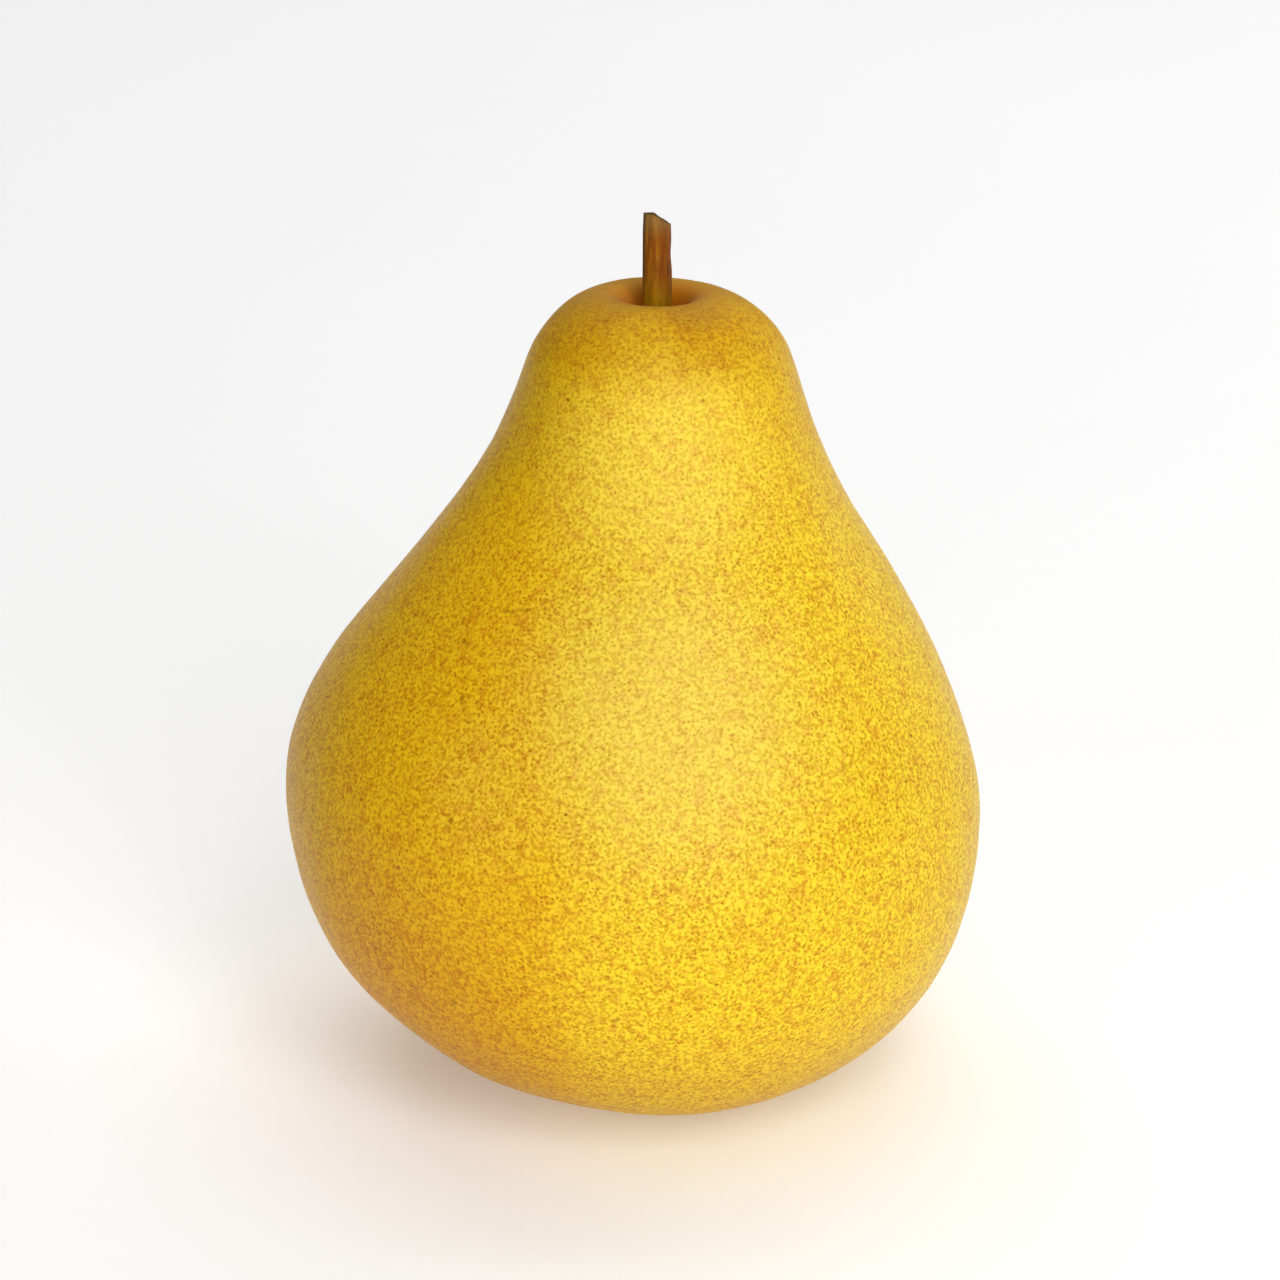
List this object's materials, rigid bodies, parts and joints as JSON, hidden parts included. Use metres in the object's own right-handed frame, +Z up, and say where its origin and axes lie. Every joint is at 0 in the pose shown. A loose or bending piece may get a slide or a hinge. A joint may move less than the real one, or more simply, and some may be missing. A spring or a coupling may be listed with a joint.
{
  "type": "pear",
  "caption": "Whole ripe yellow pear with a wide base, a short neck and a short woody stem, standing on a small flat spot.",
  "frame": {"origin": "middle of the fruit's widest part, on the surface that it stands on", "axes": "+Z up through the stem, +X towards the side that the crown lies on, -Y towards the viewer of the picture"},
  "size_m": [0.0831, 0.0826, 0.1066],
  "materials": {
    "skin": "satin fruit skin, yellow, covered with fine russet freckles",
    "wood": "dry fibrous stalk, brown, olive near the flesh",
    "dried_calyx": "dull, dry and dark brown"
  },
  "bodies": {
    "root": {"fruit": "skin", "stem": "wood", "calyx": "dried_calyx"}
  },
  "joints": []
}
